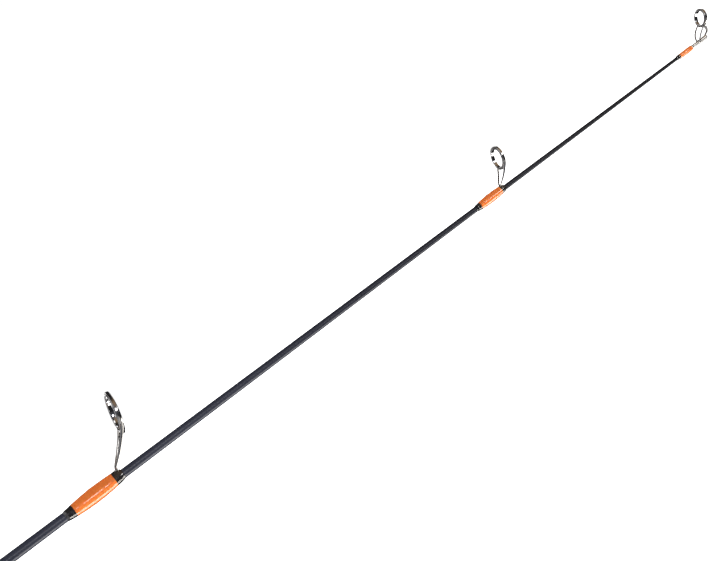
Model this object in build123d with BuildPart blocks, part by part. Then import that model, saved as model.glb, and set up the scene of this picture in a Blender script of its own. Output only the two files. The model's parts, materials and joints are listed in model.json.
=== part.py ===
from build123d import *
import math
import os

# Ice fishing rod, in millimetres. The rod lies along X with its tip towards +X,
# the guides and the reel seat's hoods stand on the +Z side, and the origin is on
# the axis at the middle of the rear grip, where a hand or a rod holder takes it.

# Stations along the rod, measured forward from the butt's end face
butt_cap_front = 12.0
butt_ring_front = 14.5
rear_cork_front = 84.5
rear_burl_front = 91.0
rear_trim_front = 93.5
barrel_front = 197.0
fore_trim_front = 199.5
fore_cork_front = 222.5
fore_burl_front = 227.0
check_front = 231.0
blank_rear = 5.0
tip_front = 655.0
origin_station = 49.5

# Blank: one solid carbon rod with a straight taper
blank_tip_radius = 0.62
blank_taper = 0.00335          # radius gained per millimetre towards the butt
spigot_radius = 0.42           # turned-down end of the blank inside the tip tube

# Grips and handle
grip_radius = 12.0
grip_shoulder = 1.4
butt_trim_radius = 11.6
rear_burl_radius = 11.7
rear_trim_radius = 11.0
fore_trim_radius = 10.2
fore_grip_rear_radius = 10.0
fore_grip_front_radius = 7.1
fore_burl_front_radius = 5.8
check_rear_radius = 5.2
check_front_radius = 2.6
cap_edge = 2.6
trim_edge = 0.4

# Reel seat barrel and the arbors inside it
barrel_radius = 7.5
barrel_bore_radius = 4.6
barrel_shoulder = 1.2
arbor_length = 12.0
arbor_stations = [98.0, 139.0, 181.0]
thread_pitch = 2.0
thread_depth = 0.7
thread_rear = 147.0
thread_front = 195.5
thread_mouth_half = 0.75
thread_root_half = 0.25
running_gap = 0.08
key_width = 3.0
key_depth = 1.0
key_gap = 0.3

# Hoods of the reel seat
hood_radius = 10.4
hood_crown_radius = 7.8
hood_crown_height = 7.7
hood_length = 18.0
hood_edge = 0.9
hood_pocket_depth = 13.0
pocket_half_width = 6.6
pocket_top = 13.3
pocket_corner = 2.2
liner_wall = 0.8
liner_setback = 1.0
fixed_hood_rear = 96.0
sliding_hood_rear = 162.0
washer_wall = 0.8
part_gap = 0.2
nut_length = 13.0
nut_radius = 10.8
nut_flutes = 24
flute_radius = 0.9
nut_band_length = 2.6
nut_band_depth = 0.9
nut_lip_length = 1.2
nut_neck_length = 4.2

# Guides: the station of each one's post, where its legs leave the foot, and its sizes
stripper = dict(
    post=tip_front - 286.4, ring_radius=7.25, hoop_wall=0.6, liner_wall=0.75,
    ring_height=17.3, ring_forward=10.4, tilt=13.0, sheet=0.9, foot_length=18.5,
    foot_width=2.1, foot_height=0.8, wrap_length=20.2, band_length=2.4, leg_width=1.15,
    leg_reach=42.0,
)
middle = dict(
    post=tip_front - 115.1, ring_radius=4.5, hoop_wall=0.45, liner_wall=0.6,
    ring_height=10.2, ring_forward=6.1, tilt=13.0, sheet=0.7, foot_length=11.8,
    foot_width=1.5, foot_height=0.6, wrap_length=13.1, band_length=1.3, leg_width=0.85,
    leg_reach=42.0,
)
post_overhang = 0.3            # how far a wrap runs past its guide's post
liner_overhang = 0.5           # how much wider the line's ring is than its hoop

# Tip top
tube_length = 11.6
tube_wall = 0.31
tip_ring_radius = 3.75
tip_hoop_wall = 0.4
tip_liner_wall = 0.5
tip_ring_height = 7.3
tip_ring_forward = 2.9
tip_tilt = 23.0
tip_sheet = 0.75
tip_hoop_width = 1.0
tip_leg_width = 0.8
tip_leg_reach = 62.0
tip_leg_setback = 4.4
tip_collar_length = 5.0
tip_collar_gap = 0.4
tip_collar_wall = 0.25
brace_width = 1.7
tip_wrap_front = tip_front - 9.5
tip_wrap_length = 8.0
tip_band_length = 1.1
tip_thread_cover = 0.2

# Thread and its clear coat
thread_cover = 0.05            # thread under the blank, where no foot lifts it
coat_cover = 0.16
coat_run_out = 0.9
coat_edge = 0.02
wrap_shoulder = 0.28           # share of a wrap's length that swells at each end

# Hook keeper
keeper_post = 250.0
keeper_wire_radius = 0.45
keeper_rise = 5.0
keeper_top_half = 3.3
keeper_base_half = 4.4
keeper_foot_length = 6.0
keeper_wrap_length = 6.4
keeper_wrap_gap = 0.6
keeper_wrap_lift = 0.55
keeper_bend = 1.2

os.makedirs("parts", exist_ok=True)


def at(station):
    return station - origin_station


def blank_radius(station):
    return blank_tip_radius + blank_taper * (tip_front - station)


def save(piece, name):
    piece.part.label = name
    export_step(piece.part, f"parts/{name}.step")


# Blank, with a thinner spigot that the tip tube is glued on
tube_rear = tip_front - tube_length
blank_front = tip_front - 0.6
with BuildPart() as blank:
    with BuildSketch(Plane.XZ):
        with BuildLine():
            Polyline(
                (at(blank_rear), 0),
                (at(blank_rear), blank_radius(blank_rear)),
                (at(tube_rear), blank_radius(tube_rear)),
                (at(tube_rear), spigot_radius),
                (at(blank_front), spigot_radius),
                (at(blank_front), 0),
                close=True,
            )
        make_face()
    revolve(axis=Axis.X)
save(blank, "blank")


# A round piece threaded on the blank, with its edges rounded
def collar(rear, front, radius, edge):
    with BuildPart() as piece:
        with BuildSketch(Plane.YZ.offset(at(rear))):
            Circle(radius)
        extrude(amount=front - rear)
        fillet(piece.edges().filter_by(GeomType.CIRCLE), radius=edge)
        add(blank.part, mode=Mode.SUBTRACT)
    return piece


# Butt and rear grip
with BuildPart() as butt_cap:
    with BuildSketch(Plane.YZ.offset(at(0))):
        Circle(grip_radius)
    extrude(amount=butt_cap_front)
    fillet(butt_cap.faces().sort_by(Axis.X)[0].edges(), radius=cap_edge)
    add(blank.part, mode=Mode.SUBTRACT)
save(butt_cap, "butt_cap")

save(collar(butt_cap_front, butt_ring_front, butt_trim_radius, trim_edge), "butt_trim_ring")
save(collar(butt_ring_front, rear_cork_front, grip_radius, grip_shoulder), "rear_grip")
save(collar(rear_cork_front, rear_burl_front, rear_burl_radius, grip_shoulder), "rear_burl_ring")
save(collar(rear_burl_front, rear_trim_front, rear_trim_radius, trim_edge), "rear_trim_ring")

# Reel seat barrel: a tube with a threaded front stretch and a keyway below
groove_count = int((thread_front - thread_rear) / thread_pitch)
with BuildPart() as seat_barrel:
    with BuildSketch(Plane.YZ.offset(at(rear_trim_front))):
        Circle(barrel_radius)
        Circle(barrel_bore_radius, mode=Mode.SUBTRACT)
    extrude(amount=barrel_front - rear_trim_front)
    with BuildSketch(Plane.YZ.offset(at(rear_trim_front))):
        Circle(barrel_radius + barrel_shoulder)
        Circle(barrel_radius, mode=Mode.SUBTRACT)
    extrude(amount=fixed_hood_rear - rear_trim_front)
    with BuildSketch(Plane.XZ):
        with Locations([
            (at(thread_rear) + (turn + 0.5) * thread_pitch, barrel_radius)
            for turn in range(groove_count)
        ]):
            Polygon(
                (-thread_mouth_half, 0.1), (-thread_root_half, -thread_depth),
                (thread_root_half, -thread_depth), (thread_mouth_half, 0.1),
                align=None,
            )
    revolve(axis=Axis.X, mode=Mode.SUBTRACT)
    with BuildSketch(Plane.YZ.offset(at(fixed_hood_rear + hood_length))):
        with Locations((0, -barrel_radius)):
            Rectangle(key_width, 2 * key_depth)
    extrude(amount=barrel_front - fixed_hood_rear - hood_length, mode=Mode.SUBTRACT)
save(seat_barrel, "seat_barrel")

# Arbors centre the thin blank inside the barrel
with BuildPart() as seat_arbors:
    for station in arbor_stations:
        with BuildSketch(Plane.YZ.offset(at(station))):
            Circle(barrel_bore_radius)
        extrude(amount=arbor_length)
    add(blank.part, mode=Mode.SUBTRACT)
save(seat_arbors, "seat_arbors")


# Hoods: a round band with a raised crown over the reel foot's pocket.
# mouth_side is +1 where the pocket opens forward and -1 where it opens to the rear
def hood(rear, mouth_side, bore_radius, keyed):
    mouth = at(rear) + (hood_length if mouth_side > 0 else 0)
    pocket_plane = Plane(origin=(mouth, 0, 0), x_dir=(0, 1, 0), z_dir=(1, 0, 0))
    with BuildPart() as piece:
        with BuildSketch(Plane.YZ.offset(at(rear))):
            Circle(hood_radius)
            with Locations((0, hood_crown_height)):
                Circle(hood_crown_radius)
            make_hull()
        extrude(amount=hood_length)
        fillet(piece.faces().filter_by(Axis.X).edges(), radius=hood_edge)
        with BuildSketch(pocket_plane):
            with Locations((0, pocket_top / 2)):
                RectangleRounded(2 * pocket_half_width, pocket_top, pocket_corner)
        extrude(amount=-mouth_side * hood_pocket_depth, mode=Mode.SUBTRACT)
        with BuildSketch(Plane.YZ.offset(at(rear))):
            Circle(bore_radius)
            if keyed:
                with Locations((0, -barrel_radius)):
                    Rectangle(key_width - 2 * key_gap, 2 * (key_depth - key_gap),
                              mode=Mode.SUBTRACT)
        extrude(amount=hood_length, mode=Mode.SUBTRACT)
    return piece


# The thin plastic liner that lies against the pocket's roof
def hood_liner(rear, mouth_side):
    mouth = at(rear) + (hood_length if mouth_side > 0 else 0)
    inner = mouth - mouth_side * hood_pocket_depth
    low_end = min(mouth - mouth_side * liner_setback, inner)
    with BuildPart() as piece:
        with BuildSketch(Plane.YZ.offset(low_end)):
            with Locations((0, pocket_top - liner_wall / 2)):
                Rectangle(2 * (pocket_half_width - pocket_corner), liner_wall)
        extrude(amount=hood_pocket_depth - liner_setback)
    return piece


save(hood(fixed_hood_rear, 1, barrel_radius, False), "fixed_hood")
save(hood_liner(fixed_hood_rear, 1), "fixed_hood_liner")
save(hood(sliding_hood_rear, -1, barrel_radius + running_gap, True), "sliding_hood")
save(hood_liner(sliding_hood_rear, -1), "sliding_hood_liner")

washer_rear = sliding_hood_rear + hood_length
with BuildPart() as nut_washer:
    with BuildSketch(Plane.YZ.offset(at(washer_rear))):
        Circle(hood_radius - 1.0)
        Circle(barrel_radius + 0.3, mode=Mode.SUBTRACT)
    extrude(amount=washer_wall)
save(nut_washer, "nut_washer")

# Lock nut: fluted round nut with a coloured band let into its front end
nut_rear = washer_rear + washer_wall + part_gap
nut_front = nut_rear + nut_length
nut_neck_rear = nut_front - nut_neck_length
nut_lip_rear = nut_front - nut_lip_length
nut_neck_radius = nut_radius - nut_band_depth
with BuildPart() as lock_nut:
    with BuildSketch(Plane.YZ.offset(at(nut_rear))):
        Circle(nut_radius)
        with PolarLocations(nut_radius + flute_radius / 2, nut_flutes):
            Circle(flute_radius, mode=Mode.SUBTRACT)
    extrude(amount=nut_neck_rear - nut_rear)
    with BuildSketch(Plane.YZ.offset(at(nut_neck_rear))):
        Circle(nut_neck_radius)
    extrude(amount=nut_neck_length)
    with BuildSketch(Plane.YZ.offset(at(nut_lip_rear))):
        Circle(nut_radius - 0.25)
    extrude(amount=nut_lip_length)
    with BuildSketch(Plane.YZ.offset(at(nut_rear))):
        Circle(barrel_radius + running_gap)
    extrude(amount=nut_length, mode=Mode.SUBTRACT)
save(lock_nut, "lock_nut")

with BuildPart() as lock_nut_band:
    with BuildSketch(Plane.YZ.offset(at(nut_lip_rear - nut_band_length))):
        Circle(nut_radius - 0.1)
        Circle(nut_neck_radius, mode=Mode.SUBTRACT)
    extrude(amount=nut_band_length)
save(lock_nut_band, "lock_nut_band")

# Fore grip
save(collar(barrel_front, fore_trim_front, fore_trim_radius, trim_edge), "fore_trim_ring")


def tapered(rear, front, rear_radius, front_radius, swell):
    middle_x = (at(rear) + at(front)) / 2
    with BuildPart() as piece:
        with BuildSketch(Plane.XZ):
            with BuildLine():
                Line((at(front), 0), (at(rear), 0))
                Line((at(rear), 0), (at(rear), rear_radius))
                ThreePointArc(
                    (at(rear), rear_radius),
                    (middle_x, (rear_radius + front_radius) / 2 + swell),
                    (at(front), front_radius),
                )
                Line((at(front), front_radius), (at(front), 0))
            make_face()
        revolve(axis=Axis.X)
        add(blank.part, mode=Mode.SUBTRACT)
    return piece


save(tapered(fore_trim_front, fore_cork_front, fore_grip_rear_radius,
             fore_grip_front_radius, 0.8), "fore_grip")
save(tapered(fore_cork_front, fore_burl_front, fore_grip_front_radius,
             fore_burl_front_radius, 0.25), "fore_burl_ring")
save(tapered(fore_burl_front, check_front, check_rear_radius,
             check_front_radius, 0.35), "winding_check")


# Thread wraps and their clear coat.
# A wrap is wound about a line that is lifted off the blank's axis, because the
# foot under the thread lifts the top of the winding
def wound(rear, front, end_radius, middle_radius, lift, cut_away):
    shoulder = wrap_shoulder * (front - rear)
    with BuildPart() as piece:
        with BuildSketch(Plane.XZ):
            Polygon(
                (at(rear), lift), (at(rear), lift + end_radius),
                (at(rear) + shoulder, lift + middle_radius),
                (at(front) - shoulder, lift + middle_radius),
                (at(front), lift + end_radius), (at(front), lift),
                align=None,
            )
        revolve(axis=Axis((0, 0, lift), (1, 0, 0)))
        for solid in cut_away:
            add(solid, mode=Mode.SUBTRACT)
    return piece


# Thread, its contrasting end bands and the coat over all three
def wrap_set(name, rear, front, swell, lift, under, cover=thread_cover, band=0.0, band_ends=()):
    base = blank_radius(rear) + lift + cover
    thread_rear = rear + (band if "rear" in band_ends else 0)
    thread_front = front - (band if "front" in band_ends else 0)
    thread = wound(thread_rear, thread_front, base, base + swell, lift, under)
    save(thread, f"{name}_wrap")
    inside = [thread.part, *under]
    if band_ends:
        band_rears = {"rear": rear, "front": thread_front}
        with BuildPart() as bands:
            for end in band_ends:
                with BuildSketch(Plane.YZ.offset(at(band_rears[end]))):
                    with Locations((0, lift)):
                        Circle(base)
                extrude(amount=band)
            for solid in under:
                add(solid, mode=Mode.SUBTRACT)
        save(bands, f"{name}_wrap_bands")
        inside.append(bands.part)
    coat = wound(rear - coat_run_out, front + coat_run_out, base + coat_edge,
                 base + swell + coat_cover, lift, inside)
    save(coat, f"{name}_epoxy")


# The plane of a guide's ring, whose top leans forward by tilt degrees
def ring_plane(centre, tilt):
    lean = math.radians(tilt)
    return Plane(origin=centre, x_dir=(0, 1, 0), z_dir=(math.cos(lean), 0, -math.sin(lean)))


# Two straight legs cut from sheet, from a narrow neck up to both sides of the hoop
def leg_sheet(base, top, base_half, top_half, leg_width, sheet):
    rise = math.hypot(top[0] - base[0], top[2] - base[2])
    lean = math.atan2(top[0] - base[0], top[2] - base[2])
    plane = Plane(origin=base, x_dir=(0, 1, 0), z_dir=(math.cos(lean), 0, -math.sin(lean)))
    with BuildPart() as piece:
        with BuildSketch(plane):
            for side in (-1, 1):
                Polygon(
                    (0, -0.2), (side * base_half, -0.2),
                    (side * (top_half + leg_width / 2), rise),
                    (side * (top_half - leg_width / 2), rise),
                    (0, leg_width),
                    align=None,
                )
        extrude(amount=sheet / 2, both=True)
    return piece


# A single-foot guide: its foot, legs and hoop, its ring, and its wrap
def guide(name, spec):
    post = spec["post"]
    under = blank_radius(post)
    foot_half = spec["foot_width"] / 2
    foot_top = under + spec["foot_height"]
    foot_rear = at(post) - spec["foot_length"]
    centre = (at(post) + spec["ring_forward"], 0, spec["ring_height"])
    lean = math.radians(spec["tilt"])
    hoop_radius = spec["ring_radius"]
    hoop_inner = hoop_radius - spec["hoop_wall"]
    mid_radius = (hoop_radius + hoop_inner) / 2
    # the legs meet the hoop this far round from its lowest point
    reach = math.radians(spec["leg_reach"])
    drop = mid_radius * math.cos(reach)
    leg_top = (centre[0] - drop * math.sin(lean), 0, centre[2] - drop * math.cos(lean))
    leg_base = (at(post) + 0.5, 0, foot_top - 0.35)
    hoop_width = spec["sheet"] + 0.2

    with BuildPart() as foot:
        with BuildSketch(Plane.XZ):
            Polygon(
                (foot_rear, under - 0.3), (foot_rear, under + 0.15),
                (at(post) - 0.55 * spec["foot_length"], foot_top),
                (at(post) + 0.9, foot_top), (at(post) + 0.9, under - 0.3),
                align=None,
            )
        extrude(amount=foot_half, both=True)
        with BuildSketch(Plane.XY):
            Polygon(
                (foot_rear, -0.45 * foot_half), (at(post) - 2.5, -foot_half),
                (at(post) + 1.2, -foot_half), (at(post) + 1.2, foot_half),
                (at(post) - 2.5, foot_half), (foot_rear, 0.45 * foot_half),
                align=None,
            )
        extrude(amount=2 * foot_top, mode=Mode.INTERSECT)
        add(blank.part, mode=Mode.SUBTRACT)

    legs = leg_sheet(leg_base, leg_top, foot_half, mid_radius * math.sin(reach),
                     spec["leg_width"], spec["sheet"])
    with BuildPart() as frame:
        with BuildSketch(ring_plane(centre, spec["tilt"])):
            Circle(hoop_radius)
        extrude(amount=hoop_width / 2, both=True)
        add(legs.part)
        add(foot.part)
        with BuildSketch(ring_plane(centre, spec["tilt"])):
            Circle(hoop_inner)
        extrude(amount=3, both=True, mode=Mode.SUBTRACT)
        add(blank.part, mode=Mode.SUBTRACT)
    save(frame, f"{name}_guide_frame")

    save(ring_liner(centre, spec["tilt"], hoop_inner, spec["liner_wall"],
                    hoop_width + liner_overhang), f"{name}_guide_ring")

    wrap_front = post + post_overhang
    wrap_set(name, wrap_front - spec["wrap_length"], wrap_front,
             swell=spec["foot_height"] * 0.55, lift=spec["foot_height"] * 0.42,
             under=[blank.part, frame.part], band=spec["band_length"], band_ends=("rear", "front"))


# The hard smooth ring that the line runs through
def ring_liner(centre, tilt, outer, wall, width):
    with BuildPart() as piece:
        with BuildSketch(ring_plane(centre, tilt)):
            Circle(outer)
            Circle(outer - wall, mode=Mode.SUBTRACT)
        extrude(amount=width / 2, both=True)
        inner_edges = piece.edges().filter_by(GeomType.CIRCLE).group_by(SortBy.RADIUS)[0]
        fillet(inner_edges, radius=0.8 * wall)
    return piece


guide("stripper", stripper)
guide("middle", middle)

# Tip top: tube, hoop on two legs and a front brace, and its ring
tube_outer = spigot_radius + tube_wall
with BuildPart() as tip_tube:
    with BuildSketch(Plane.YZ.offset(at(tube_rear))):
        Circle(tube_outer)
    extrude(amount=tube_length)
    fillet(tip_tube.faces().sort_by(Axis.X)[-1].edges(), radius=0.3)
    add(blank.part, mode=Mode.SUBTRACT)
save(tip_tube, "tip_tube")

tip_centre = (at(tip_front) + tip_ring_forward, 0, tip_ring_height)
tip_lean = math.radians(tip_tilt)
tip_hoop_inner = tip_ring_radius - tip_hoop_wall
tip_mid_radius = tip_ring_radius - tip_hoop_wall / 2
tip_reach = math.radians(tip_leg_reach)
tip_drop = tip_mid_radius * math.cos(tip_reach)
collar_outer = tube_outer + tip_collar_wall
tip_legs = leg_sheet(
    (at(tip_front) - tip_leg_setback, 0, tube_outer * 0.6),
    (tip_centre[0] - tip_drop * math.sin(tip_lean), 0,
     tip_centre[2] - tip_drop * math.cos(tip_lean)),
    collar_outer, tip_mid_radius * math.sin(tip_reach), tip_leg_width, tip_sheet,
)
brace_x = tip_centre[0] - tip_mid_radius * math.sin(tip_lean)
brace_z = tip_centre[2] - tip_mid_radius * math.cos(tip_lean)
with BuildPart() as tip_frame:
    with BuildSketch(ring_plane(tip_centre, tip_tilt)):
        Circle(tip_ring_radius)
    extrude(amount=tip_hoop_width / 2, both=True)
    add(tip_legs.part)
    with BuildSketch(Plane.YZ.offset(at(tip_front) - tip_collar_length - tip_collar_gap)):
        Circle(collar_outer)
    extrude(amount=tip_collar_length)
    # the brace bows forward from the collar up to the lowest point of the hoop
    with BuildSketch(Plane.XZ):
        Polygon(
            (at(tip_front) - 1.8, collar_outer - 0.25),
            (at(tip_front) + 0.3, collar_outer + 0.1),
            (at(tip_front) + 1.5, 0.5 * brace_z),
            (at(tip_front) + 1.8, 0.75 * brace_z),
            (brace_x - 0.3, brace_z),
            (brace_x + 0.6, brace_z - 0.05),
            (at(tip_front) + 2.5, 0.72 * brace_z),
            (at(tip_front) + 2.1, 0.42 * brace_z),
            (at(tip_front) + 0.8, collar_outer - 0.5),
            (at(tip_front) - 0.6, collar_outer - 0.5),
            align=None,
        )
    extrude(amount=brace_width / 2, both=True)
    with BuildSketch(ring_plane(tip_centre, tip_tilt)):
        Circle(tip_hoop_inner)
    extrude(amount=2, both=True, mode=Mode.SUBTRACT)
    add(tip_tube.part, mode=Mode.SUBTRACT)
    add(blank.part, mode=Mode.SUBTRACT)
save(tip_frame, "tip_frame")
save(ring_liner(tip_centre, tip_tilt, tip_hoop_inner, tip_liner_wall,
                tip_hoop_width + liner_overhang), "tip_ring")

wrap_set("tip", tip_wrap_front - tip_wrap_length, tip_wrap_front,
         swell=0.1, lift=0.0, under=[blank.part, tip_tube.part],
         cover=tip_thread_cover, band=tip_band_length, band_ends=("rear",))

# Hook keeper: a bent wire on its own short wraps, ahead of the fore grip ----
keeper_lift = blank_radius(keeper_post) + keeper_wire_radius
keeper_x = at(keeper_post)
with BuildPart() as hook_keeper:
    with BuildLine():
        FilletPolyline(
            (keeper_x - keeper_base_half - keeper_foot_length, 0, keeper_lift),
            (keeper_x - keeper_base_half, 0, keeper_lift),
            (keeper_x - keeper_top_half, 0, keeper_lift + keeper_rise),
            (keeper_x + keeper_top_half, 0, keeper_lift + keeper_rise),
            (keeper_x + keeper_base_half, 0, keeper_lift),
            (keeper_x + keeper_base_half + keeper_foot_length, 0, keeper_lift),
            radius=keeper_bend,
        )
    with BuildSketch(Plane.YZ.offset(keeper_x - keeper_base_half - keeper_foot_length)):
        with Locations((0, keeper_lift)):
            Circle(keeper_wire_radius)
    sweep()
    add(blank.part, mode=Mode.SUBTRACT)
save(hook_keeper, "hook_keeper")

for name, side in (("keeper_rear", -1), ("keeper_front", 1)):
    wrap_middle = keeper_post + side * (keeper_base_half + keeper_wrap_gap + keeper_wrap_length / 2)
    wrap_set(name, wrap_middle - keeper_wrap_length / 2, wrap_middle + keeper_wrap_length / 2,
             swell=0.12, lift=keeper_wrap_lift, under=[blank.part, hook_keeper.part])
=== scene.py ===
import json
import math

import bmesh
import bpy
import numpy as np
from mathutils import Matrix, Vector


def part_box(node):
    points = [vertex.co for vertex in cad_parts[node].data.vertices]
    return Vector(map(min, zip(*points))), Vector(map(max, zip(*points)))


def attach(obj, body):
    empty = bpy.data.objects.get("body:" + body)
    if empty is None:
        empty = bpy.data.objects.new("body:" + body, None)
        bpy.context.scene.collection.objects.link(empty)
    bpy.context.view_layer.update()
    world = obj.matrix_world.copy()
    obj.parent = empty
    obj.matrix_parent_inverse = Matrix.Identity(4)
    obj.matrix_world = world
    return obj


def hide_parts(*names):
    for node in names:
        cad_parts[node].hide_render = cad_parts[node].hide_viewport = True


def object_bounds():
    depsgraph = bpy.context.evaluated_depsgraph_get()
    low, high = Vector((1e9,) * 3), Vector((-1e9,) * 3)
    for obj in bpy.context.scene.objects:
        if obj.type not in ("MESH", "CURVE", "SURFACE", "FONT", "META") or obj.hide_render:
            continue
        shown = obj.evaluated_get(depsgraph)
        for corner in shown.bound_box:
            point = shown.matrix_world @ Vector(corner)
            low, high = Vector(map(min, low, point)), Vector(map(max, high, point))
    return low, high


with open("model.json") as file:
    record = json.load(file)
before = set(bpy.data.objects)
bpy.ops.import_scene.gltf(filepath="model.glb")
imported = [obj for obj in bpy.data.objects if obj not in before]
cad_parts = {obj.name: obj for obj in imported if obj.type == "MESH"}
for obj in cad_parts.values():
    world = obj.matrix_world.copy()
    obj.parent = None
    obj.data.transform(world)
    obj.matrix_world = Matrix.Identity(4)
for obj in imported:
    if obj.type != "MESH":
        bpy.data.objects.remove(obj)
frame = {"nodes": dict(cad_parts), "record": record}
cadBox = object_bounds()
mm = 0.001
scene = bpy.context.scene
turn = 2 * math.pi


class Val:
    # one output of a node; an operator on it adds a Math node
    def __init__(self, look, socket):
        self.look = look
        self.socket = socket

    def math(self, kind, first, second=None):
        sockets = {0: first}
        if second is not None:
            sockets[1] = second
        return self.look.node("ShaderNodeMath", {"operation": kind}, sockets)

    def __add__(self, other):
        return self.math("ADD", self, other)

    def __radd__(self, other):
        return self.math("ADD", other, self)

    def __sub__(self, other):
        return self.math("SUBTRACT", self, other)

    def __rsub__(self, other):
        return self.math("SUBTRACT", other, self)

    def __mul__(self, other):
        return self.math("MULTIPLY", self, other)

    def __rmul__(self, other):
        return self.math("MULTIPLY", other, self)

    def __truediv__(self, other):
        return self.math("DIVIDE", self, other)

    def __rtruediv__(self, other):
        return self.math("DIVIDE", other, self)

    def __gt__(self, other):
        return self.math("GREATER_THAN", self, other)

    def __lt__(self, other):
        return self.math("LESS_THAN", self, other)

    def sin(self):
        return self.math("SINE", self)

    def floor(self):
        return self.math("FLOOR", self)

    def fract(self):
        return self.math("FRACT", self)

    def angleTo(self, other):
        return self.math("ARCTAN2", self, other)

    def abs(self):
        return self.math("ABSOLUTE", self)

    def clip(self):
        return self.look.node("ShaderNodeClamp", {}, {"Value": self})


class Look:
    # the nodes of a new material, or of the world if its tree is given
    def __init__(self, name, tree=None):
        self.material = None
        if tree is None:
            self.material = bpy.data.materials.new(name)
            self.material.use_nodes = True
            tree = self.material.node_tree
        tree.nodes.clear()
        self.tree = tree

    def node(self, kind, settings, sockets, out=0):
        made = self.tree.nodes.new(kind)
        for key, value in settings.items():
            if key == "stops":
                ramp = made.color_ramp
                while len(ramp.elements) < len(value):
                    ramp.elements.new(0.5)
                for element, (place, shade) in zip(ramp.elements, value):
                    element.position = place
                    element.color = (*shade, 1) if isinstance(shade, tuple) else (*[shade] * 3, 1)
            else:
                setattr(made, key, value)
        for key, value in sockets.items():
            if isinstance(value, Val):
                self.tree.links.new(value.socket, made.inputs[key])
            else:
                made.inputs[key].default_value = value
        if not made.outputs:
            return None
        return Val(self, made.outputs[out])

    # a factor past 1 counts only where clamp is off, as for a panel brighter than white
    def blend(self, factor, first, second, kind="MIX", clamp=True):
        first = (*first, 1) if isinstance(first, tuple) else first
        second = (*second, 1) if isinstance(second, tuple) else second
        return self.node("ShaderNodeMix", {
            "data_type": "RGBA", "blend_type": kind, "clamp_factor": clamp},
            {0: factor, 6: first, 7: second}, 2)

    def place(self):
        return self.node("ShaderNodeTexCoord", {}, {}, "Object")

    def axes(self, place):
        parts = self.node("ShaderNodeSeparateXYZ", {}, {0: place}, "X")
        return tuple(Val(self, parts.socket.node.outputs[i]) for i in range(3))

    def stretch(self, place, scale):
        return self.node("ShaderNodeVectorMath", {"operation": "MULTIPLY"}, {0: place, 1: scale})

    def noise(self, place, scale, detail=3.0, roughness=0.55):
        return self.node("ShaderNodeTexNoise", {}, {
            "Vector": place, "Scale": scale, "Detail": detail, "Roughness": roughness})

    def cells(self, place, scale, feature="F1", out="Distance"):
        return self.node("ShaderNodeTexVoronoi", {"feature": feature},
                         {"Vector": place, "Scale": scale}, out)

    def ramp(self, value, stops, out=0):
        return self.node("ShaderNodeValToRGB", {"stops": stops}, {0: value}, out)

    def bump(self, height, strength, distance):
        return self.node("ShaderNodeBump", {}, {
            "Height": height, "Strength": strength, "Distance": distance})

    def surface(self, sockets):
        shader = self.node("ShaderNodeBsdfPrincipled", {}, sockets)
        return self.finish(shader)

    def finish(self, shader, kind="ShaderNodeOutputMaterial"):
        self.node(kind, {}, {0: shader})
        return self.material


def makeMesh(name, points, faces, sharp=38):
    mesh = bpy.data.meshes.new(name)
    mesh.from_pydata([tuple(p) for p in points], [], faces)
    mesh.validate()
    work = bmesh.new()
    work.from_mesh(mesh)
    bmesh.ops.remove_doubles(work, verts=work.verts, dist=1e-7)
    bmesh.ops.recalc_face_normals(work, faces=work.faces)
    for face in work.faces:
        face.smooth = True
    for edge in work.edges:
        if len(edge.link_faces) == 2 and edge.calc_face_angle(0) > math.radians(sharp):
            edge.smooth = False
    work.to_mesh(mesh)
    work.free()
    piece = bpy.data.objects.new(name, mesh)
    scene.collection.objects.link(piece)
    return piece


def gridFaces(rows, columns, closeRows=False):
    faces = []
    for row in range(rows if closeRows else rows - 1):
        above = (row + 1) % rows
        for column in range(columns):
            after = (column + 1) % columns
            faces.append((row * columns + column, row * columns + after,
                          above * columns + after, above * columns + column))
    return faces


# rows of points round the rod's axis: radius[row][column] at x[row] and angle[column]
def wrapGrid(name, stations, angles, radii, closeRows=False, capEnds=False):
    rows, columns = len(stations), len(angles)
    radii = np.asarray(radii)
    if radii.ndim == 1:
        radii = np.repeat(radii[:, None], columns, axis=1)
    x = np.repeat(np.asarray(stations)[:, None], columns, axis=1)
    points = np.stack([x, radii * np.sin(angles), radii * np.cos(angles)], axis=2).reshape(-1, 3)
    faces = gridFaces(rows, columns, closeRows)
    if capEnds:
        faces.append(tuple(range(columns)))
        faces.append(tuple(range((rows - 1) * columns, rows * columns)))
    return makeMesh(name, points, faces)


def evenAngles(count):
    return np.arange(count) * turn / count


# a corner between its neighbours, rounded from so far back along each side
def roundCorner(before, here, after, soft, steps):
    start = here + (before - here).normalized() * soft
    end = here + (after - here).normalized() * soft
    path = []
    for step in range(steps + 1):
        t = step / steps
        path.append(start * (1 - t) ** 2 + here * 2 * t * (1 - t) + end * t ** 2)
    return path


# an outline of (x, radius, softness) corners, in millimetres
def roundedOutline(corners, steps=6):
    outline = []
    for index, (x, r, soft) in enumerate(corners):
        here = Vector((x, r))
        if soft == 0:
            outline.append(here)
            continue
        before = Vector(corners[index - 1][:2])
        after = Vector(corners[(index + 1) % len(corners)][:2])
        outline += roundCorner(before, here, after, soft, steps)
    return outline


# a closed outline turned about the rod's axis
def turned(name, corners, segments=128):
    outline = roundedOutline(corners)
    return wrapGrid(name, [x * mm for x, r in outline], evenAngles(segments),
                    np.array([r for x, r in outline]) * mm, closeRows=True)


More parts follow.
